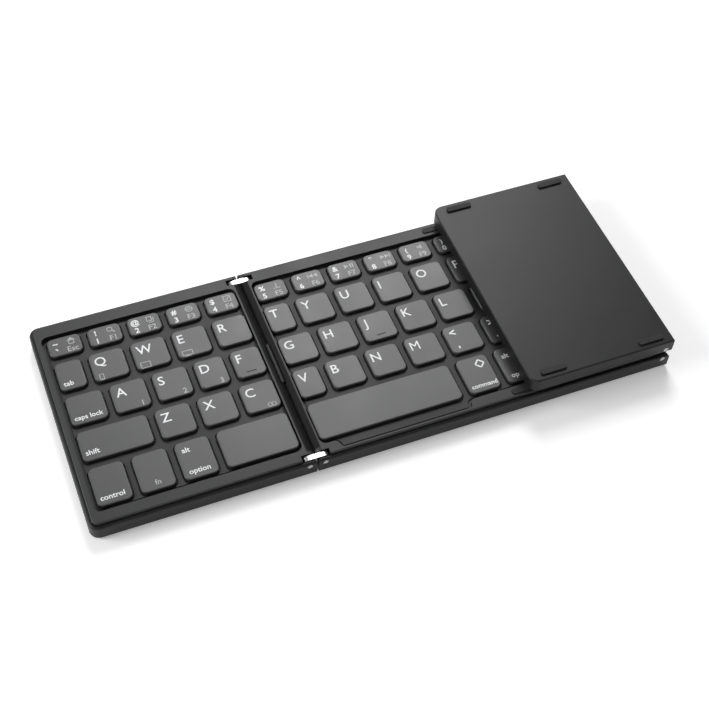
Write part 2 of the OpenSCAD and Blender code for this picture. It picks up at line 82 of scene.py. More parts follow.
# %% Camera
MM = 0.001
SENSOR_MM = 36
PICTURE_PX = 709
FOCAL_PX = 1348.4
CAMERA_AT = Vector((-135.56, -301.67, 435.03)) * MM
CAMERA_TURN = math.radians(24.553)
CAMERA_DOWN = math.radians(52.782)
CAMERA_ROLL = math.radians(4.005)


def aim_camera():
    """Makes the camera from its place, its turn to the right of +Y, its tilt and its roll."""
    forward = Vector((math.sin(CAMERA_TURN) * math.cos(CAMERA_DOWN),
                      math.cos(CAMERA_TURN) * math.cos(CAMERA_DOWN), -math.sin(CAMERA_DOWN)))
    level = Vector((math.cos(CAMERA_TURN), -math.sin(CAMERA_TURN), 0))
    above = level.cross(forward)
    right = level * math.cos(CAMERA_ROLL) + above * math.sin(CAMERA_ROLL)
    up = above * math.cos(CAMERA_ROLL) - level * math.sin(CAMERA_ROLL)
    camera = bpy.data.objects.new("camera", bpy.data.cameras.new("camera"))
    camera.data.sensor_width = SENSOR_MM
    camera.data.lens = FOCAL_PX / PICTURE_PX * SENSOR_MM
    camera.data.clip_start = 0.01
    axes = Matrix((right, up, -forward)).transposed().to_4x4()
    camera.matrix_world = Matrix.Translation(CAMERA_AT) @ axes
    bpy.context.scene.collection.objects.link(camera)
    bpy.context.scene.camera = camera
    return camera


camera = aim_camera()
print("lens", round(camera.data.lens, 2), "mm")

# %% [markdown]
# ## Small helpers for shader nodes
# A material here is a short list of nodes, so two helpers are enough: one that adds a node and sets its
# plain inputs, and one that starts a material and hands back its Principled BSDF. Values that are the
# same all over a surface are typed straight into the Principled sockets. A Mix node keeps a set of
# sockets for every kind of data under the same labels, so its sockets are told apart by number.

# %% Node helpers
COLOUR_A, COLOUR_B, COLOUR_OUT = 6, 7, 2
NUMBER_A, NUMBER_B, NUMBER_OUT = 2, 3, 0


def add(tree, kind, x=0, y=0, **values):
    """Adds a node. Values that name an input socket set it, and the others are properties."""
    node = tree.nodes.new(kind)
    node.location = (x, y)
    for name, value in values.items():
        label = name.replace("_", " ")
        if label in node.inputs:
            node.inputs[label].default_value = value
        else:
            setattr(node, name, value)
    return node


def join(tree, *pairs):
    """Links each (from socket, to socket) pair."""
    for start, end in pairs:
        tree.links.new(start, end)


def new_material(name, **values):
    """A material with a Principled BSDF whose plain inputs are set by name."""
    material = bpy.data.materials.new(name)
    material.use_nodes = True
    shader = material.node_tree.nodes["Principled BSDF"]
    for label, value in values.items():
        shader.inputs[label.replace("_", " ")].default_value = value
    return material, material.node_tree, shader


def grey(level, tint=0.0):
    """A linear grey, slightly blue where tint is above 0."""
    return (level * (1 - tint), level, level * (1 + tint), 1)


print("helpers ready in Blender", bpy.app.version_string)

# %% [markdown]
# ## Moulded plastic
# Black plastic parts are never one colour. The mould is spark-eroded, which leaves a fine grain of some
# tenths of a millimetre; the plastic itself mottles a little; and corners that hands and sleeves rub
# turn smoother and paler. The same paler edge shade also stands for the sheen of light along the rounded
# edges, so it is partly wear and partly a painted highlight. Each effect could be painted on a texture,
# but noise in object space needs no unwrapping and keeps one scale on every part. They go into two node
# groups that all materials share.

# %% Grain and mottle group
GRAIN_PER_METRE = 4000
MOTTLE_PER_METRE = 60
PIT_SHARE = 0.6


def make_grain():
    """Node group: fine mould grain as a height, and a soft large mottle from 0 to 1."""
    group = bpy.data.node_groups.new("mould_grain", "ShaderNodeTree")
    face = group.interface
    grain = face.new_socket("Grain per metre", in_out="INPUT", socket_type="NodeSocketFloat")
    grain.default_value = GRAIN_PER_METRE
    mottle = face.new_socket("Mottle per metre", in_out="INPUT", socket_type="NodeSocketFloat")
    mottle.default_value = MOTTLE_PER_METRE
    face.new_socket("Height", in_out="OUTPUT", socket_type="NodeSocketFloat")
    face.new_socket("Mottle", in_out="OUTPUT", socket_type="NodeSocketFloat")
    start = add(group, "NodeGroupInput", -800)
    end = add(group, "NodeGroupOutput", 400)
    place = add(group, "ShaderNodeTexCoord", -800, 300)
    fine = add(group, "ShaderNodeTexNoise", -400, 200, Detail=3.0, Roughness=0.6)
    pits = add(group, "ShaderNodeTexVoronoi", -400, -150, feature="SMOOTH_F1")
    both = add(group, "ShaderNodeMath", -100, 100, operation="MULTIPLY_ADD")
    both.inputs[1].default_value = PIT_SHARE
    cloud = add(group, "ShaderNodeTexNoise", -400, -500, Detail=4.0, Roughness=0.55)
    spread = add(group, "ShaderNodeMapRange", -100, -400, From_Min=0.3, From_Max=0.7)
    join(group,
         (place.outputs["Object"], fine.inputs["Vector"]),
         (place.outputs["Object"], pits.inputs["Vector"]),
         (place.outputs["Object"], cloud.inputs["Vector"]),
         (start.outputs["Grain per metre"], fine.inputs["Scale"]),
         (start.outputs["Grain per metre"], pits.inputs["Scale"]),
         (start.outputs["Mottle per metre"], cloud.inputs["Scale"]),
         (pits.outputs["Distance"], both.inputs[0]),
         (fine.outputs["Fac"], both.inputs[2]),
         (both.outputs[0], end.inputs["Height"]),
         (cloud.outputs["Fac"], spread.inputs["Value"]),
         (spread.outputs["Result"], end.inputs["Mottle"]))
    return group


GRAIN = make_grain()
print("group", GRAIN.name, "with", len(GRAIN.nodes), "nodes")

# %% [markdown]
# Wear gathers where the surface turns, and so does a sheen of light on the rounded edges. This mask
# carries both, so the pale shade it adds is partly wear and partly a painted highlight. On these parts
# every upper edge is a small round, so a surface that faces neither straight up nor straight out is an
# edge. The normal in object space tells that, and it stays true when the part moves. Noise breaks the
# mask up, so that the wear and the painted sheen aren't a drawn line.

# %% Edge wear and painted sheen group
PATCHES_PER_METRE = 300


def make_wear_and_sheen():
    """Node group: a mask of rubbed edges with painted sheen, from how far the surface leans off all
    three axes.
    """
    group = bpy.data.node_groups.new("edge_wear_and_sheen", "ShaderNodeTree")
    face = group.interface
    patches = face.new_socket("Patches per metre", in_out="INPUT", socket_type="NodeSocketFloat")
    patches.default_value = PATCHES_PER_METRE
    face.new_socket("Wear and sheen", in_out="OUTPUT", socket_type="NodeSocketFloat")
    start = add(group, "NodeGroupInput", -800)
    end = add(group, "NodeGroupOutput", 500)
    place = add(group, "ShaderNodeTexCoord", -800, 300)
    split = add(group, "ShaderNodeSeparateXYZ", -600, 300)
    upright = add(group, "ShaderNodeMath", -400, 300, operation="ABSOLUTE")
    lean = add(group, "ShaderNodeMapRange", -200, 300, From_Min=0.99, From_Max=0.75)
    wall = add(group, "ShaderNodeMapRange", -200, 0, From_Min=0.05, From_Max=0.35)
    edge = add(group, "ShaderNodeMath", 0, 200, operation="MULTIPLY")
    patch = add(group, "ShaderNodeTexNoise", -200, -300, Detail=5.0, Roughness=0.65)
    broken = add(group, "ShaderNodeMapRange", 0, -200, From_Min=0.35, From_Max=0.65, To_Min=0.35)
    # This mask marks worn edges and, with them, edges where a sheen of light is painted.
    worn_and_sheen = add(group, "ShaderNodeMath", 250, 100, operation="MULTIPLY")
    join(group,
         (place.outputs["Normal"], split.inputs[0]),
         (split.outputs["Z"], upright.inputs[0]),
         (upright.outputs[0], lean.inputs["Value"]),
         (upright.outputs[0], wall.inputs["Value"]),
         (lean.outputs["Result"], edge.inputs[0]),
         (wall.outputs["Result"], edge.inputs[1]),
         (place.outputs["Object"], patch.inputs["Vector"]),
         (start.outputs["Patches per metre"], patch.inputs["Scale"]),
         (patch.outputs["Fac"], broken.inputs["Value"]),
         (edge.outputs[0], worn_and_sheen.inputs[0]),
         (broken.outputs["Result"], worn_and_sheen.inputs[1]),
         (worn_and_sheen.outputs[0], end.inputs["Wear and sheen"]))
    return group


WEAR_AND_SHEEN = make_wear_and_sheen()
print("group", WEAR_AND_SHEEN.name, "with", len(WEAR_AND_SHEEN.nodes), "nodes")

# %% [markdown]
# One function now makes every plastic and rubber: the mottle mixes a darker and a lighter shade, the
# edge mask adds a paler shade on edges, partly wear and partly a painted highlight, roughness follows
# the mottle, and the grain bumps the normal.
# What differs between keycap, rim, shell and rubber is only the numbers.

# %% Plastic maker


def plastic(name, shade, light, worn_and_sheen, rough, grain=GRAIN_PER_METRE, depth=0.02, specular=0.5):
    """Moulded plastic or rubber: a dark, a light and an edge shade, and its least and most roughness.
    The edge shade is partly wear and partly a painted highlight.

    The grain is counted per metre, and its depth is in millimetres.
    """
    material, tree, shader = new_material(name, Specular_IOR_Level=specular)
    texture = add(tree, "ShaderNodeGroup", -900, 0, node_tree=GRAIN)
    texture.inputs["Grain per metre"].default_value = grain
    rub_and_sheen = add(tree, "ShaderNodeGroup", -900, 300, node_tree=WEAR_AND_SHEEN)
    body = add(tree, "ShaderNodeMix", -600, 200, data_type="RGBA")
    body.inputs[COLOUR_A].default_value = grey(shade, tint=0.01)
    body.inputs[COLOUR_B].default_value = grey(light, tint=0.02)
    # The paler edge shade: partly wear, partly a painted highlight on the rounded edges.
    rubbed_and_sheen = add(tree, "ShaderNodeMix", -350, 200, data_type="RGBA")
    rubbed_and_sheen.inputs[COLOUR_B].default_value = grey(worn_and_sheen, tint=0.01)
    gloss = add(tree, "ShaderNodeMapRange", -600, -100, To_Min=rough[0], To_Max=rough[1])
    bump = add(tree, "ShaderNodeBump", -350, -300, Strength=1.0, Distance=depth * MM)
    join(tree,
         (texture.outputs["Mottle"], body.inputs["Factor"]),
         (body.outputs[COLOUR_OUT], rubbed_and_sheen.inputs[COLOUR_A]),
         (rub_and_sheen.outputs["Wear and sheen"], rubbed_and_sheen.inputs["Factor"]),
         (rubbed_and_sheen.outputs[COLOUR_OUT], shader.inputs["Base Color"]),
         (texture.outputs["Mottle"], gloss.inputs["Value"]),
         (gloss.outputs["Result"], shader.inputs["Roughness"]),
         (texture.outputs["Height"], bump.inputs["Height"]),
         (bump.outputs["Normal"], shader.inputs["Normal"]))
    return material


KEYCAP = plastic("keycap_plastic", shade=0.042, light=0.05, worn_and_sheen=0.1, rough=(0.38, 0.44),
                 grain=5000, depth=0.014, specular=0.54)
print("made", KEYCAP.name, "with", len(KEYCAP.node_tree.nodes), "nodes")

# %% [markdown]
# The keycaps and the touchpad are the palest of the blacks, the casings are the darkest, and the feet
# are the dullest. Every range of roughness is short, so a highlight breaks up without turning blotchy.
# The mechanical model brings plain materials of its own along, and where one of them has the same
# name, Blender puts a number behind the new one.

# %% The other plastics
RIM = plastic("rim_plastic", shade=0.03, light=0.035, worn_and_sheen=0.07, rough=(0.4, 0.46),
              grain=4500, depth=0.014, specular=0.25)
SHELL = plastic("shell_plastic", shade=0.011, light=0.013, worn_and_sheen=0.03, rough=(0.36, 0.39), specular=0.24)
DECK = plastic("deck_plastic", shade=0.02, light=0.025, worn_and_sheen=0.05, rough=(0.45, 0.55),
               grain=5000, depth=0.01, specular=0.3)
PAD = plastic("touchpad_plastic", shade=0.05, light=0.055, worn_and_sheen=0.09, rough=(0.38, 0.44),
              grain=8000, depth=0.004)
RUBBER = plastic("foot_rubber", shade=0.012, light=0.018, worn_and_sheen=0.03, rough=(0.65, 0.85),
                 grain=2500, depth=0.03)
SLEEVE = plastic("sleeve_rubber", shade=0.014, light=0.018, worn_and_sheen=0.025, rough=(0.45, 0.55),
                 grain=6000, depth=0.006, specular=0.3)
SILICONE = plastic("dome_silicone", shade=0.5, light=0.6, worn_and_sheen=0.65, rough=(0.4, 0.55),
                   grain=3000, depth=0.01)
print("made", ", ".join(m.name for m in (RIM, SHELL, DECK, PAD, RUBBER, SLEEVE, SILICONE)))

# %% [markdown]
# ## Painted shade at the seams
# The rounded strips of the rims on both sides of a seam lie against the next panel when the keyboard is
# stored. They face sideways and catch little light, and that shade is painted into their colour: a
# darker base, with a duller roughness. A mask finds them by their distance from the two seams, in the
# part's own coordinates, so the painted shade stays in its place when a wing turns. It reaches so far to
# each side of a seam, ends at the hinges, and fades out over a short way.

# %% Painted seam shade
SEAM_SHADE_REACH = 3.0 * MM
SEAM_SHADE_HALF = 43.5 * MM
SEAM_SHADE_FADE = 0.3 * MM
LEFT_SEAM = (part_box("left_shell")[1].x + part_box("middle_shell")[0].x) / 2
RIGHT_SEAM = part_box("middle_shell")[1].x


def make_seam_shade():
    """Node group: a mask of the strips beside both seams, between the hinges, where shade is painted."""
    group = bpy.data.node_groups.new("painted_seam_shade", "ShaderNodeTree")
    face = group.interface
    face.new_socket("Painted shade", in_out="OUTPUT", socket_type="NodeSocketFloat")
    end = add(group, "NodeGroupOutput", 600)
    place = add(group, "ShaderNodeTexCoord", -800)
    split = add(group, "ShaderNodeSeparateXYZ", -600)
    seams = []
    for seam in (LEFT_SEAM, RIGHT_SEAM):
        offset = add(group, "ShaderNodeMath", -400, operation="SUBTRACT")
        offset.inputs[1].default_value = seam
        away = add(group, "ShaderNodeMath", -250, operation="ABSOLUTE")
        join(group, (split.outputs["X"], offset.inputs[0]), (offset.outputs[0], away.inputs[0]))
        seams.append(away)
    nearest = add(group, "ShaderNodeMath", -100, operation="MINIMUM")
    near = add(group, "ShaderNodeMapRange", 50,
               From_Min=SEAM_SHADE_REACH, From_Max=SEAM_SHADE_REACH - SEAM_SHADE_FADE)
    aside = add(group, "ShaderNodeMath", -400, -200, operation="ABSOLUTE")
    inside = add(group, "ShaderNodeMapRange", 50, -200,
                 From_Min=SEAM_SHADE_HALF, From_Max=SEAM_SHADE_HALF - SEAM_SHADE_FADE)
    both = add(group, "ShaderNodeMath", 300, operation="MULTIPLY")
    join(group,
         (place.outputs["Object"], split.inputs[0]),
         (seams[0].outputs[0], nearest.inputs[0]),
         (seams[1].outputs[0], nearest.inputs[1]),
         (nearest.outputs[0], near.inputs["Value"]),
         (split.outputs["Y"], aside.inputs[0]),
         (aside.outputs[0], inside.inputs["Value"]),
         (near.outputs["Result"], both.inputs[0]),
         (inside.outputs["Result"], both.inputs[1]),
         (both.outputs[0], end.inputs["Painted shade"]))
    return group


def paint_seam_shade(material, shade, rough):
    """Paints shade over a plastic beside the seams: a darker colour and a duller roughness."""
    tree = material.node_tree
    shader = next(n for n in tree.nodes if n.type == "BSDF_PRINCIPLED")
    mask = add(tree, "ShaderNodeGroup", -350, 600, node_tree=SEAM_SHADE_MASK)
    body = add(tree, "ShaderNodeMix", -150, 400, data_type="RGBA")
    body.inputs[COLOUR_B].default_value = grey(shade, tint=0.01)
    gloss = add(tree, "ShaderNodeMix", -150, 100, data_type="FLOAT")
    gloss.inputs[NUMBER_B].default_value = rough
    join(tree,
         (shader.inputs["Base Color"].links[0].from_socket, body.inputs[COLOUR_A]),
         (shader.inputs["Roughness"].links[0].from_socket, gloss.inputs[NUMBER_A]),
         (mask.outputs["Painted shade"], body.inputs["Factor"]),
         (mask.outputs["Painted shade"], gloss.inputs["Factor"]),
         (body.outputs[COLOUR_OUT], shader.inputs["Base Color"]),
         (gloss.outputs[NUMBER_OUT], shader.inputs["Roughness"]))


SEAM_SHADE_MASK = make_seam_shade()
# The rims' rounded strips beside the seams get painted shade.
paint_seam_shade(RIM, shade=0.004, rough=0.75)
print("seams at", round(LEFT_SEAM / MM, 1), "and", round(RIGHT_SEAM / MM, 1), "mm")

# %% [markdown]
# ## Steel links and pins
# The links are stamped from bright steel and tumbled, so they carry fine scratches along their length
# and soft clouds of haze. Stretching noise along one axis gives the scratches. The metal itself is the
# Principled BSDF's Metallic, set plainly because all of the surface is metal.

# %% Metal maker


def metal(name, dark, light, rough, stretch=(1, 12, 12), scratches=1500):
    """Worn metal with scratches along X, and hazy patches between a least and a most roughness."""
    material, tree, shader = new_material(name, Metallic=1.0)
    place = add(tree, "ShaderNodeTexCoord", -1100)
    pull = add(tree, "ShaderNodeMapping", -900)
    pull.inputs["Scale"].default_value = stretch
    line = add(tree, "ShaderNodeTexNoise", -700, Scale=scratches, Detail=6.0)
    haze = add(tree, "ShaderNodeTexNoise", -700, -300, Scale=400.0, Detail=3.0)
    shade = add(tree, "ShaderNodeMix", -400, 100, data_type="RGBA")
    shade.inputs[COLOUR_A].default_value = grey(dark)
    shade.inputs[COLOUR_B].default_value = grey(light)
    gloss = add(tree, "ShaderNodeMapRange", -400, -200, To_Min=rough[0], To_Max=rough[1])
    bump = add(tree, "ShaderNodeBump", -400, -450, Strength=0.6, Distance=0.008 * MM)
    join(tree,
         (place.outputs["Object"], pull.inputs["Vector"]),
         (pull.outputs["Vector"], line.inputs["Vector"]),
         (place.outputs["Object"], haze.inputs["Vector"]),
         (line.outputs["Fac"], shade.inputs["Factor"]),
         (shade.outputs[COLOUR_OUT], shader.inputs["Base Color"]),
         (haze.outputs["Fac"], gloss.inputs["Value"]),
         (gloss.outputs["Result"], shader.inputs["Roughness"]),
         (line.outputs["Fac"], bump.inputs["Height"]),
         (bump.outputs["Normal"], shader.inputs["Normal"]))
    return material


LINK = metal("link_steel", dark=0.4, light=0.62, rough=(0.24, 0.36))
print("made", LINK.name, "with", len(LINK.node_tree.nodes), "nodes")

# %% [markdown]
# The pins' heads and the battery's foil have no direction, so their noise isn't stretched. The plate
# that carries the keys is sheet aluminium, a little hazier than the links. The circuit board, hidden in
# the right wing, is a laminate, so it takes the maker of plastics again.

# %% The other metals and the board
EVEN = (1, 1, 1)
PIN = metal("pin_steel", dark=0.35, light=0.55, rough=(0.25, 0.45), stretch=EVEN, scratches=3000)
PLATE = metal("plate_aluminium", dark=0.5, light=0.62, rough=(0.3, 0.5))
FOIL = metal("battery_foil", dark=0.45, light=0.6, rough=(0.25, 0.6), stretch=EVEN, scratches=200)
BOARD = plastic("board_laminate", shade=0.03, light=0.04, worn_and_sheen=0.06, rough=(0.25, 0.4),
                grain=1500, depth=0.01)
print("made", ", ".join(m.name for m in (PIN, PLATE, FOIL, BOARD)))

# %% [markdown]
# ## Dressing the mechanical parts
# The parts keep their own meshes. Each only needs its material, and normals that are smooth over round
# edges and sharp at real corners. Marking edges by angle does that without touching a vertex.

# %% Materials on the CAD nodes
SMOOTH_BELOW = math.radians(32)
MATERIAL_OF_SLOT = {
    "shell_plastic": SHELL, "deck_plastic": DECK, "rim_plastic": RIM, "key_plastic": KEYCAP,
    "touchpad_plastic": PAD, "link_metal": LINK, "pin_metal": PIN, "plate_metal": PLATE,
    "socket_metal": PIN, "foot_rubber": RUBBER, "sleeve_rubber": SLEEVE, "dome_silicone": SILICONE,
    "board_laminate": BOARD, "battery_foil": FOIL,
}


def dress(node, material):
    """Gives a CAD node its material and smooth normals over its rounds."""
    mesh = nodes[node].data
    mesh.materials.clear()
    mesh.materials.append(material)
    mesh.polygons.foreach_set("use_smooth", [True] * len(mesh.polygons))
    mesh.set_sharp_from_angle(angle=SMOOTH_BELOW)


for part in frame["record"]["subparts"]:
    dress(part["node"], MATERIAL_OF_SLOT[part["material_slot"]])

# %% [markdown]
# ## Where each key is
# The legends sit on the keycaps, so their places are read from the model. A node with several keys is
# split into its separate islands, and each island's box is one key. Sorting them by row and then from
# left to right gives the order in which a person reads a keyboard. The rows are told apart by how far
# a key's middle lies from the back edge.

# %% Key boxes
BACK_EDGE = cad_box[1].y
WELD = 1e-6
ROW_ENDS = [d * MM for d in (20, 36.6, 53.6, 70.3)]


def islands(node):
    """The (lowest, highest) corners of every separate solid of a node."""
    mesh = bmesh.new()
    mesh.from_mesh(nodes[node].data)
    bmesh.ops.remove_doubles(mesh, verts=mesh.verts, dist=WELD)
    seen, found = set(), []
    for first in mesh.verts:
        if first in seen:
            continue
        seen.add(first)
        pile, island = [first], []
        while pile:
            v = pile.pop()
            island.append(v.co.copy())
            for e in v.link_edges:
                other = e.other_vert(v)
                if other not in seen:
                    seen.add(other)
                    pile.append(other)
        found.append((Vector(map(min, zip(*island))), Vector(map(max, zip(*island)))))
    mesh.free()
    return found


def reading_order(key):
    """Sorts keys by row from the back, then from left to right, then from back to front."""
    middle = (key[0] + key[1]) / 2
    row = sum(BACK_EDGE - middle.y > end for end in ROW_ENDS)
    return row, round(middle.x, 3), -middle.y


key_nodes = [p["node"] for p in frame["record"]["subparts"] if p["material_slot"] == "key_plastic"]
keys = {name: sorted(islands(name), key=reading_order) for name in key_nodes}
print("keys found:", sum(len(v) for v in keys.values()))

# %% [markdown]
# ## Ink
# Legends are laser-marked and filled, so they are matt, a hair's breadth proud of the key, and not quite
# even. The main letters are white. The second functions are printed in a dull grey, which reads only
# when one looks for it.

# %% Ink materials
INK_RISE = 0.02 * MM
WHITE_INK = plastic("white_ink", shade=0.72, light=0.85, worn_and_sheen=0.88, rough=(0.4, 0.55),
                    grain=6000, depth=0.004)
GREY_INK = plastic("grey_ink", shade=0.36, light=0.43, worn_and_sheen=0.48, rough=(0.4, 0.55),
                   grain=6000, depth=0.004)
WHITE, GREY = 0, 1
print("inks:", WHITE_INK.name, GREY_INK.name)

# %% [markdown]
# ## Lettering
# Blender's built-in font is a plain sans serif, close to what keyboards use. A text object is turned
# into a mesh at once, so that all marks of one key can be joined into one thin piece. The font's size
# isn't its capital height, so that share is measured once on an H.

# %% Text as a mesh


def text_mesh(words, size, bold=0.0):
    """A raised mesh of words, its baseline on y = 0."""
    curve = bpy.data.curves.new("words", "FONT")
    curve.body = words
    curve.size = size
    curve.offset = bold
    curve.extrude = INK_RISE
    curve.resolution_u = 3
    holder = bpy.data.objects.new("words", curve)
    mesh = bpy.data.meshes.new_from_object(holder)
    bpy.data.objects.remove(holder)
    bpy.data.curves.remove(curve)
    return mesh


def span(mesh, axis):
    """The lowest and highest coordinate of a mesh along one axis."""
    values = [v.co[axis] for v in mesh.vertices]
    return min(values), max(values)


probe = text_mesh("H", 1.0)
CAP_SHARE = span(probe, 1)[1]
bpy.data.meshes.remove(probe)
print("capital height is", round(CAP_SHARE, 3), "of the font size")

# %% [markdown]
# ## Small pictures
# The second functions are pictures: a house, a lens, arrows for playing and skipping. Each is a handful
# of flat shapes, so a few drawing helpers that add prisms to a mesh are all that they need. The names
# of systems that such keys often carry are left out, and plain outlines of devices stand in their place.

# %% Flat shapes
ARC_STEP = 20
LEAST_ARC_STEPS = 6


def prism(sheet, points, ink):
    """Adds a thin prism over a flat outline given in metres, counter-clockwise."""
    low = [sheet.verts.new((x, y, -INK_RISE)) for x, y in points]
    high = [sheet.verts.new((x, y, INK_RISE)) for x, y in points]
    faces = [sheet.faces.new(high), sheet.faces.new(low[::-1])]
    for i in range(len(points)):
        j = (i + 1) % len(points)
        faces.append(sheet.faces.new((low[i], low[j], high[j], high[i])))
    for face in faces:
        face.material_index = ink


def bar(x, y, w, h):
    """A filled rectangle about its centre."""
    return [[(x - w / 2, y - h / 2), (x + w / 2, y - h / 2),
             (x + w / 2, y + h / 2), (x - w / 2, y + h / 2)]]


def outline(x, y, w, h, t=0.2):
    """A rectangle drawn as a line of thickness t."""
    return (bar(x, y + (h - t) / 2, w, t) + bar(x, y - (h - t) / 2, w, t)
            + bar(x + (w - t) / 2, y, t, h - 2 * t) + bar(x - (w - t) / 2, y, t, h - 2 * t))


def wedge(x, y, w, h):
    """A triangle that points to the right, or to the left where w is below 0."""
    points = [(x - w / 2, y - h / 2), (x + w / 2, y), (x - w / 2, y + h / 2)]
    return [points if w > 0 else points[::-1]]


def roof(x, y, w, h):
    """A triangle that points up, or down where h is below 0."""
    points = [(x - w / 2, y - h / 2), (x + w / 2, y - h / 2), (x, y + h / 2)]
    return [points if h > 0 else points[::-1]]


def stroke(x0, y0, x1, y1, t=0.22):
    """A straight line of thickness t."""
    along = Vector((x1 - x0, y1 - y0)).normalized() * (t / 2)
    side = Vector((-along.y, along.x))
    return [[(x0 - side.x, y0 - side.y), (x1 - side.x, y1 - side.y),
             (x1 + side.x, y1 + side.y), (x0 + side.x, y0 + side.y)]]


def ring(x, y, r, t=0.2, start=0, end=360):
    """A circle or arc of thickness t, from start to end in degrees."""
    count = max(LEAST_ARC_STEPS, round((end - start) / ARC_STEP))
    turns = [math.radians(start + (end - start) * i / count) for i in range(count + 1)]
    outer = [(x + r * math.cos(a), y + r * math.sin(a)) for a in turns]
    inner = [(x + (r - t) * math.cos(a), y + (r - t) * math.sin(a)) for a in turns]
    return [[inner[i], outer[i], outer[i + 1], inner[i + 1]] for i in range(count)]


print("a full ring has", len(ring(0, 0, 1)), "pieces")

# %% [markdown]
# With these shapes a picture is one line each. The numbers are millimetres from its middle, before it
# is scaled to its key. Shapes may overlap, because the ink is one flat colour.

# %% Pictures
PICTURES = {
    "house": roof(0, 0.55, 2.2, 0.9) + outline(0, -0.4, 1.4, 1.2),
    "lens": ring(-0.25, 0.25, 0.72) + stroke(0.2, -0.2, 0.85, -0.85, 0.28),
    "pages": outline(-0.25, 0.2, 1.4, 1.5) + bar(0.75, -0.3, 0.2, 1.5) + bar(0.2, -0.95, 1.3, 0.2),
    "globe": ring(0, 0, 0.95) + bar(0, 0, 1.5, 0.16) + ring(0, 0, 0.5, 0.14),
    "tick": outline(0, 0, 1.9, 1.9) + stroke(-0.5, 0, -0.1, -0.45) + stroke(-0.1, -0.45, 0.55, 0.5),
    "lamp": bar(0, -0.8, 1.7, 0.2) + bar(0, 0.1, 0.22, 1.6),
    "back": bar(-1.35, 0, 0.25, 1.2) + wedge(-0.6, 0, -1.1, 1.2) + wedge(0.6, 0, -1.1, 1.2),
    "play": wedge(-0.7, 0, 1.2, 1.3) + bar(0.35, 0, 0.3, 1.3) + bar(0.95, 0, 0.3, 1.3),
    "next": wedge(-0.6, 0, 1.1, 1.2) + wedge(0.6, 0, 1.1, 1.2) + bar(1.35, 0, 0.25, 1.2),
    "mute": wedge(0, 0, -1.0, 1.4) + bar(-0.5, 0, 0.5, 0.6),
    "quiet": wedge(-0.2, 0, -1.0, 1.4) + bar(-0.7, 0, 0.5, 0.6) + ring(0, 0, 0.8, 0.2, -40, 40),
    "loud": wedge(-0.4, 0, -1.0, 1.4) + bar(-0.9, 0, 0.5, 0.6)
            + ring(-0.2, 0, 0.8, 0.2, -40, 40) + ring(-0.2, 0, 1.25, 0.2, -40, 40),
    "lock": outline(0, -0.35, 1.5, 1.1, 0.55) + ring(0, 0.15, 0.6, 0.2, 0, 180),
    "erase": wedge(-1.1, 0, -0.9, 1.4) + bar(0.3, 0, 2.0, 0.3),
    "left": wedge(0, 0, -1.5, 1.8), "right": wedge(0, 0, 1.5, 1.8),
    "up": roof(0, 0, 1.8, 1.4), "down": roof(0, 0, 1.8, -1.4),
    "phone": outline(0, 0, 1.3, 2.1) + bar(0, -0.7, 0.5, 0.12),
    "tablet": outline(0, 0, 2.9, 2.1) + bar(-1.15, 0, 0.12, 0.5),
    "screen": outline(0, 0.2, 3.1, 1.7) + bar(0, -0.95, 1.7, 0.22) + bar(0, -0.75, 0.4, 0.3),
    "rings": ring(-0.5, 0, 0.75) + ring(0.5, 0, 0.75),
    "diamond": stroke(-0.9, 0, 0, 0.9, 0.3) + stroke(0, 0.9, 0.9, 0, 0.3)
               + stroke(0.9, 0, 0, -0.9, 0.3) + stroke(0, -0.9, -0.9, 0, 0.3),
}
print("pictures:", ", ".join(PICTURES))

# %% [markdown]
# ## What stands on each key
# A mark is placed from the key's own edges: so far from the left or the right, so far from the back or
# the front. That way one rule serves keys of any width. Negative distances are taken from the right and
# from the front. The kinds of mark are few: a big letter, a word, and the small signs of the top row.
# All of their lengths are in millimetres, and bold is the weight added all round a stroke.

# %% Kinds of mark
BOLD = 0.05
EXTRA_BOLD = 0.09
BIG_TALL = 4.0
WORD_TALL = 2.15
SIGN_TALL = 2.4
BRACKET_TALL = 2.0
PAIR_TALL = 3.4


def big(letter):
    """A letter key's own letter. An M's strokes are too close to take extra weight."""
    return dict(kind="text", what=letter, tall=BIG_TALL, bold=0.0 if letter == "M" else BOLD,
                across=1.85, along=7.5, side="left", ink=WHITE)


def word(words, across=1.5, along=-3.1, side="left", ink=WHITE, tall=WORD_TALL):
    """A word, set by its left end, its middle or its right end."""
    return dict(kind="text", what=words, tall=tall, bold=BOLD,
                across=across, along=along, side=side, ink=ink)


def sign(mark, across, along, ink=WHITE, tall=SIGN_TALL):
    """A short sign, set by its middle."""
    return dict(kind="text", what=mark, tall=tall, bold=EXTRA_BOLD if ink == WHITE else BOLD,
                across=across, along=along, side="middle", ink=ink)


def picture(name, across, along, ink=GREY, scale=1.4):
    """A small picture about its middle."""
    return dict(kind="picture", what=name, tall=scale, bold=0.0,
                across=across, along=along, side="middle", ink=ink)


def top_key(upper, lower, name, second):
    """The four marks of a top-row key: two white signs, and a grey picture over a grey name.

    A backtick is only the top of a sign, so it is drawn taller and its baseline lies lower.
    """
    high = sign(upper, across=3.1, along=5.1, tall=BRACKET_TALL if upper in "()" else SIGN_TALL)
    low = sign(lower, across=3.1, along=9.1)
    if lower == "`":
        low = sign(lower, across=3.1, along=10.4, tall=BIG_TALL)
    return [high, low, picture(name, across=-3.8, along=4.0, scale=1.65),
            sign(second, across=-3.8, along=9.1, ink=GREY)]


def pair(upper, lower):
    """The two signs of a punctuation key."""
    return [sign(upper, across=3.6, along=6.2, tall=PAIR_TALL),
            sign(lower, across=3.6, along=12.2, tall=PAIR_TALL)]


print("a top-row key has", len(top_key("!", "1", "lens", "F1")), "marks")

# %% [markdown]
# The table says, key by key in reading order, what stands on the keys that aren't letters. A letter
# key's node is named for its letter, so its mark comes from the name. Seven letters also carry a second
# function, and the space keys carry nothing.

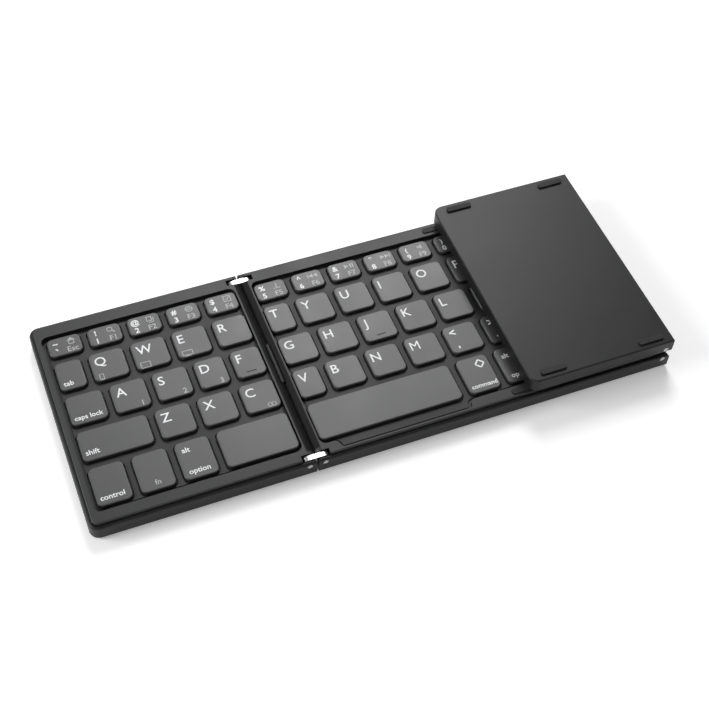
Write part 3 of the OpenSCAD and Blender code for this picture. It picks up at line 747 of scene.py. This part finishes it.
# %% The marks of every key
MARKS = {
    "left_top_row_keys": [top_key("~", "`", "house", "Esc"), top_key("!", "1", "lens", "F1"),
                          top_key("@", "2", "pages", "F2"), top_key("#", "3", "globe", "F3"),
                          top_key("$", "4", "tick", "F4")],
    "left_side_keys": [[word("tab")], [word("caps lock", tall=2.0)], [word("shift", along=-3.7)],
                       [word("control", along=-3.3)], [word("fn", 6.75, -3.3, "middle", GREY)],
                       [word("alt", 2.2, 6.1), word("option", 2.2, -3.3)]],
    "left_space_key": [[]],
    "middle_top_row_keys": [top_key("%", "5", "lamp", "F5"), top_key("^", "6", "back", "F6"),
                            top_key("&", "7", "play", "F7"), top_key("*", "8", "next", "F8"),
                            top_key("(", "9", "mute", "F9"), top_key(")", "0", "quiet", "F10"),
                            top_key("_", "-", "loud", "F11"), top_key("+", "=", "lock", "F12"),
                            [picture("erase", -3.6, 5.3, WHITE)]],
    "punctuation_keys": [pair("{", "["), pair("}", "]"), pair("|", "\\"), pair(":", ";"),
                         pair("\"", "'"), pair("<", ","), pair(">", "."), pair("?", "/")],
    "right_side_keys": [[word("enter", -1.5, -2.0, "right")], [word("shift", -1.5, -2.0, "right")],
                        [picture("diamond", -4.1, 5.1, WHITE, 2.1),
                         word("command", 6.9, -3.2, "middle", tall=1.9)],
                        [word("alt", 2.2, 6.1), word("option", 2.2, -3.3)],
                        [picture("left", 6.75, 8.5, WHITE)], [picture("up", 6.75, 3.9, WHITE)],
                        [picture("down", 6.75, 3.9, WHITE)], [picture("right", 7.0, 8.5, WHITE)]],
    "space_key": [[]],
}
SECOND = {
    "q_key": picture("phone", 2.9, -2.9), "w_key": picture("tablet", 3.6, -2.9),
    "e_key": picture("screen", 3.8, -2.9), "a_key": sign("1", -3.2, -1.9, GREY),
    "s_key": sign("2", -3.2, -1.9, GREY), "d_key": sign("3", -3.2, -1.9, GREY),
    "c_key": picture("rings", -3.6, -2.8),
}
for name in key_nodes:
    if name not in MARKS:
        MARKS[name] = [[big(name[0].upper())] + ([SECOND[name]] if name in SECOND else [])]
print("marks:", sum(len(m) for key in MARKS.values() for m in key))

# %% [markdown]
# ## Stamping the marks
# Each key node gets one piece with all its marks, which rides on the key's own body, so a pressed key
# takes its legend down with it. A text is shifted after it has become a mesh, when its true width is
# known, and every mark is lifted to the key's top at the end.

# %% Stamp
TO_MIDDLE = {"left": 0.0, "middle": 0.5, "right": 1.0}


def place_of(key, across, along):
    """The point on a key that lies so many millimetres in from its edges."""
    low, high = key
    x = (low.x if across > 0 else high.x) + across * MM
    y = (high.y if along > 0 else low.y) - along * MM
    return x, y


def stamp(sheet, key, kind, what, tall, bold, across, along, side, ink):
    """Adds one mark to the sheet of legends of a key."""
    x, y = place_of(key, across, along)
    if kind == "picture":
        for points in PICTURES[what]:
            prism(sheet, [(x + px * tall * MM, y + py * tall * MM) for px, py in points], ink)
        return
    mesh = text_mesh(what, tall / CAP_SHARE * MM, bold * MM)
    left, right = span(mesh, 0)
    shift = Vector((x - left - (right - left) * TO_MIDDLE[side], y, 0))
    for v in mesh.vertices:
        v.co += shift
    for face in mesh.polygons:
        face.material_index = ink
    sheet.from_mesh(mesh)
    bpy.data.meshes.remove(mesh)


def print_legends(name):
    """One piece with every mark of a key node, riding on its body."""
    sheet = bmesh.new()
    for key, marks in zip(keys[name], MARKS[name]):
        start = len(sheet.verts)
        for mark in marks:
            stamp(sheet, key, **mark)
        sheet.verts.ensure_lookup_table()
        for v in sheet.verts[start:]:
            v.co.z += KEY_TOP
    mesh = bpy.data.meshes.new(name + "_legends")
    sheet.to_mesh(mesh)
    sheet.free()
    mesh.materials.append(WHITE_INK)
    mesh.materials.append(GREY_INK)
    piece = bpy.data.objects.new(name + "_legends", mesh)
    bpy.context.scene.collection.objects.link(piece)
    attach(piece, name)
    return piece


KEY_TOP = keys["q_key"][0][1].z
legends = [print_legends(name) for name in key_nodes if any(MARKS[name])]
print("legend pieces:", len(legends), " faces:", sum(len(p.data.polygons) for p in legends))

# %% [markdown]
# ## The cable sleeves
# A soft sleeve covers the flat cable in the middle of each seam. Unfolded it lies in the groove between
# the panels, and folded it is pinched between them, so a rigid piece would cut through both. The piece
# here is a rounded bar with closed ends, which rides on the body of its link.

# %% Sleeves
SLEEVE_STEPS = 16
ON_EQUATOR = 1e-7


def sleeve(name, node, body):
    """A bar with round ends in the place of a CAD sleeve, riding on the given body."""
    low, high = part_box(node)
    middle = (low + high) / 2
    radius = (high.x - low.x) / 2
    half = (high.y - low.y) / 2 - radius
    shape = bmesh.new()
    bmesh.ops.create_uvsphere(shape, u_segments=SLEEVE_STEPS, v_segments=SLEEVE_STEPS, radius=radius)
    along_seam = Matrix.Rotation(math.pi / 2, 3, "X")
    bmesh.ops.rotate(shape, verts=shape.verts, cent=(0, 0, 0), matrix=along_seam)
    for v in shape.verts:
        v.co.y += math.copysign(half, v.co.y) if abs(v.co.y) > ON_EQUATOR else 0
        v.co += middle
    mesh = bpy.data.meshes.new(name)
    shape.to_mesh(mesh)
    shape.free()
    mesh.polygons.foreach_set("use_smooth", [True] * len(mesh.polygons))
    mesh.materials.append(SLEEVE)
    piece = bpy.data.objects.new(name, mesh)
    bpy.context.scene.collection.objects.link(piece)
    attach(piece, body)
    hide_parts(node)
    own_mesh(piece)
    return piece


left_sleeve = sleeve("left_sleeve", "left_flex_sleeve", "left_link")
right_sleeve = sleeve("right_sleeve", "right_flex_sleeve", "right_link")
print("sleeves:", left_sleeve.name, right_sleeve.name)

# %% [markdown]
# ## Floor
# The floor is a plain diffuse white with a little glow, which shows directly, in a reflection or
# through something clear, so it renders white while shadows still fall on it. The glow grows with the
# distance from the keyboard, so the far floor stays white where the lamps no longer reach.

# %% Floor material
FLOOR_WHITE = 0.93
GLOW_NEAR = 0.28
GLOW_NEAR_REACH = 0.3
GLOW_FAR = 0.8
GLOW_FAR_REACH = 1.3


def floor_material():
    """Plain white with a glow that seen rays pick up, stronger far from the keyboard."""
    material = bpy.data.materials.new("floor_white")
    material.use_nodes = True
    tree = material.node_tree
    tree.nodes.clear()
    end = add(tree, "ShaderNodeOutputMaterial", 400)
    matt = add(tree, "ShaderNodeBsdfDiffuse", -200, 100, Color=grey(FLOOR_WHITE))
    path = add(tree, "ShaderNodeLightPath", -1000)
    direct = add(tree, "ShaderNodeMath", -800, operation="MAXIMUM")
    seen = add(tree, "ShaderNodeMath", -600, operation="MAXIMUM")
    place = add(tree, "ShaderNodeTexCoord", -1000, -300)
    reach = add(tree, "ShaderNodeVectorMath", -800, -300, operation="LENGTH")
    level = add(tree, "ShaderNodeMapRange", -600, -300, From_Min=GLOW_NEAR_REACH,
                From_Max=GLOW_FAR_REACH, To_Min=GLOW_NEAR, To_Max=GLOW_FAR)
    strength = add(tree, "ShaderNodeMath", -400, operation="MULTIPLY")
    glow = add(tree, "ShaderNodeEmission", -200, -100)
    total = add(tree, "ShaderNodeAddShader", 100)
    join(tree,
         (path.outputs["Is Camera Ray"], direct.inputs[0]),
         (path.outputs["Is Glossy Ray"], direct.inputs[1]),
         (direct.outputs[0], seen.inputs[0]),
         (path.outputs["Is Transmission Ray"], seen.inputs[1]),
         (place.outputs["Object"], reach.inputs[0]),
         (reach.outputs["Value"], level.inputs["Value"]),
         (seen.outputs[0], strength.inputs[0]),
         (level.outputs["Result"], strength.inputs[1]),
         (strength.outputs[0], glow.inputs["Strength"]),
         (matt.outputs[0], total.inputs[0]),
         (glow.outputs[0], total.inputs[1]),
         (total.outputs[0], end.inputs["Surface"]))
    return material


SWEEP_WHITE = floor_material()
print("made", SWEEP_WHITE.name, "with", len(SWEEP_WHITE.node_tree.nodes), "nodes")

# %% [markdown]
# The keyboard lies on a sweep, a floor that curves up at its edge, as in a studio. It could be a bent
# sheet behind the keyboard, but a round one with a rim hides the horizon from every side. Each step of
# the rim extrudes the last ring of edges outward and up along a quarter of a circle.

# %% Floor
FLOOR_RADIUS = 3.0
FLOOR_RISE = 1.0
FLOOR_STEPS = 12
FLOOR_SIDES = 64


def make_floor():
    """A round floor that is flat in the middle and curves up at its rim, so no horizon shows."""
    flat = FLOOR_RADIUS - FLOOR_RISE
    turns = [math.pi / 2 * i / FLOOR_STEPS for i in range(FLOOR_STEPS + 1)]
    profile = [(flat + FLOOR_RISE * math.sin(t), FLOOR_RISE * (1 - math.cos(t))) for t in turns]
    shape = bmesh.new()
    bmesh.ops.create_circle(shape, cap_ends=True, segments=FLOOR_SIDES, radius=flat)
    edge = list(shape.edges)
    for (r0, z0), (r1, z1) in zip(profile, profile[1:]):
        grown = bmesh.ops.extrude_edge_only(shape, edges=edge)["geom"]
        edge = [g for g in grown if isinstance(g, bmesh.types.BMEdge)]
        for v in {v for e in edge for v in e.verts}:
            v.co = (v.co.x * r1 / r0, v.co.y * r1 / r0, z1)
    mesh = bpy.data.meshes.new("floor")
    shape.to_mesh(mesh)
    shape.free()
    mesh.polygons.foreach_set("use_smooth", [True] * len(mesh.polygons))
    mesh.materials.append(SWEEP_WHITE)
    floor = bpy.data.objects.new("floor", mesh)
    bpy.context.scene.collection.objects.link(floor)
    return floor


floor = make_floor()
print(floor.name, "is", 2 * FLOOR_RADIUS, "m wide and rises", FLOOR_RISE, "m at its rim")

# %% [markdown]
# ## Light
# The world is the light of the room around. Its strength follows the direction that a ray leaves in:
# it is brighter behind the keyboard than in front of it, so the tops are lit and the front walls aren't.

# %% World
AMBIENT_FRONT = 0.12
AMBIENT_BACK = 0.4


def make_world():
    """Light from all round, brighter from behind the keyboard than from the front."""
    world = bpy.data.worlds.new("studio")
    world.use_nodes = True
    tree = world.node_tree
    back = tree.nodes["Background"]
    back.inputs["Color"].default_value = (1, 1, 1, 1)
    place = add(tree, "ShaderNodeTexCoord", -800)
    split = add(tree, "ShaderNodeSeparateXYZ", -600)
    level = add(tree, "ShaderNodeMapRange", -300,
                From_Min=-1.0, To_Min=AMBIENT_FRONT, To_Max=AMBIENT_BACK)
    join(tree,
         (place.outputs["Generated"], split.inputs[0]),
         (split.outputs["Y"], level.inputs["Value"]),
         (level.outputs["Result"], back.inputs["Strength"]))
    bpy.context.scene.world = world
    return world


world = make_world()
print("world:", world.name, "from", AMBIENT_FRONT, "in front to", AMBIENT_BACK, "behind")

# %% [markdown]
# Two soft boxes light the keyboard. The main one hangs behind it and high up: matt tops catch it and
# turn mid grey, while walls that face the camera stay dark. One at the left fills the shadows in front
# and lays a faint one to the right. They are area lamps, because a lamp's size sets how soft the edges
# of its shadows are.

# %% Lamps


def soft_box(name, at, size, power):
    """A square area lamp of so many metres and watts that faces the keyboard, at the origin."""
    lamp = bpy.data.lights.new(name, "AREA")
    lamp.shape = "SQUARE"
    lamp.size = size
    lamp.energy = power
    holder = bpy.data.objects.new(name, lamp)
    holder.location = at
    holder.rotation_euler = (-Vector(at)).to_track_quat("-Z", "Y").to_euler()
    bpy.context.scene.collection.objects.link(holder)


soft_box("back_box", at=(0.33, 0.9, 0.95), size=0.55, power=11.0)
soft_box("side_box", at=(-1.0, 0.2, 0.6), size=0.6, power=9.0)
bpy.context.scene.view_settings.view_transform = "Standard"
